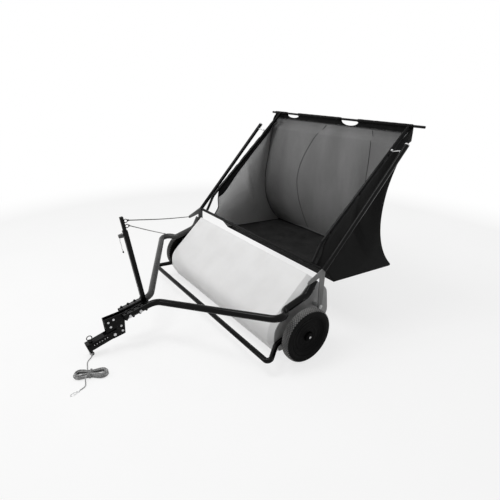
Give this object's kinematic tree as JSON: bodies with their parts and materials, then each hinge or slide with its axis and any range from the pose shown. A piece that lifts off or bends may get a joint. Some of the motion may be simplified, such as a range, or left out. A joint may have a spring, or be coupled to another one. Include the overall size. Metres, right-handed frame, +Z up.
{
  "type": "lawn sweeper",
  "caption": "Tow-behind lawn sweeper: two wheels gear a rotary brush under a hood, which fills a dumping fabric hopper pulled by a rope over a post.",
  "frame": {"origin": "on the ground, at the middle of the machine's width and length without the loose rope", "axes": "+X to the machine's left, -Y forwards to the hitch, +Y back to the hopper, +Z up"},
  "size_m": [1.193, 1.6037, 0.95],
  "materials": {
    "black_paint": "gloss",
    "dark_steel": "satin",
    "zinc": "satin",
    "hood_paint": "satin",
    "rubber": "matte",
    "rim_plastic": "satin",
    "gear_nylon": "matte",
    "bristle": "matte",
    "cloth": "matte",
    "rope": "matte"
  },
  "bodies": {
    "chassis": {"hood_shell": "hood_paint", "end_plate_left": "hood_paint", "brush_bearing_left": "gear_nylon", "axle_bolt_left": "zinc", "pivot_bolt_left": "zinc", "drawbar_tube_left": "black_paint", "hitch_plate_left": "black_paint", "end_plate_right": "hood_paint", "brush_bearing_right": "gear_nylon", "axle_bolt_right": "zinc", "pivot_bolt_right": "zinc", "drawbar_tube_right": "black_paint", "hitch_plate_right": "black_paint", "front_guard_bar": "black_paint", "hitch_tongue": "black_paint", "hitch_bolt_1": "zinc", "hitch_bolt_2": "zinc", "hitch_bolt_3": "zinc", "hitch_pin": "dark_steel", "pin_clip": "zinc", "post_lower": "black_paint", "rope_dump": "rope", "rope_stay": "rope", "rope_lead": "rope", "rope_hank": "rope", "hank_tie": "cloth", "rope_tail": "rope", "rope_snap": "zinc"},
    "left_wheel": {"tyre_left": "rubber", "rim_left": "rim_plastic", "ring_gear_left": "gear_nylon", "hub_cap_left": "zinc"},
    "right_wheel": {"tyre_right": "rubber", "rim_right": "rim_plastic", "ring_gear_right": "gear_nylon", "hub_cap_right": "zinc"},
    "brush": {"brush_shaft": "dark_steel", "brush_core": "gear_nylon", "bristle_row_1": "bristle", "bristle_row_2": "bristle", "bristle_row_3": "bristle", "bristle_row_4": "bristle", "pinion_left": "zinc"},
    "right_pinion": {"pinion_right": "zinc"},
    "hopper": {"hopper_arm_left": "zinc", "hopper_tube_left": "black_paint", "bag_tube_left": "black_paint", "frame_link_left": "zinc", "bag_hook_left": "zinc", "hopper_arm_right": "zinc", "hopper_tube_right": "black_paint", "bag_tube_right": "black_paint", "frame_link_right": "zinc", "bag_hook_right": "zinc", "hopper_front_bar": "black_paint", "hopper_crossbar": "dark_steel", "bag": "cloth"},
    "post_top": {"post_upper": "black_paint"},
    "post_knob": {"post_knob": "gear_nylon"}
  },
  "joints": [
    {"name": "left_wheel_spin", "type": "hinge", "parent": "chassis", "child": "left_wheel", "pos_m": [0.57075, 0.04437, 0.1263], "axis": [1, 0, 0], "continuous": true},
    {"name": "right_wheel_spin", "type": "hinge", "parent": "chassis", "child": "right_wheel", "pos_m": [-0.57075, 0.04437, 0.1263], "axis": [1, 0, 0], "continuous": true},
    {"name": "brush_spin", "type": "hinge", "parent": "chassis", "child": "brush", "pos_m": [0, 0.09018, 0.14298], "axis": [1, 0, 0], "continuous": true},
    {"name": "right_pinion_spin", "type": "hinge", "parent": "chassis", "child": "right_pinion", "pos_m": [-0.57075, 0.09018, 0.14298], "axis": [1, 0, 0], "continuous": true},
    {"name": "hopper_dump", "type": "hinge", "parent": "chassis", "child": "hopper", "pos_m": [0, 0.14637, 0.218], "axis": [1, 0, 0], "range_deg": [0, 70], "deforming": ["rope_dump"]},
    {"name": "post_slide", "type": "slide", "parent": "chassis", "child": "post_top", "axis": [0, -0.1288, 0.9917], "range_m": [0, 0.06], "deforming": ["rope_dump", "rope_stay"]},
    {"name": "post_knob_turn", "type": "hinge", "parent": "chassis", "child": "post_knob", "pos_m": [0, -0.4999, 0.53194], "axis": [0, 0.9917, 0.1288], "range_deg": [-180, 180]}
  ],
  "couplings": [
    {"joint": "brush_spin", "follows": "left_wheel_spin", "ratio": 4.5455},
    {"joint": "right_pinion_spin", "follows": "right_wheel_spin", "ratio": 4.5455}
  ]
}
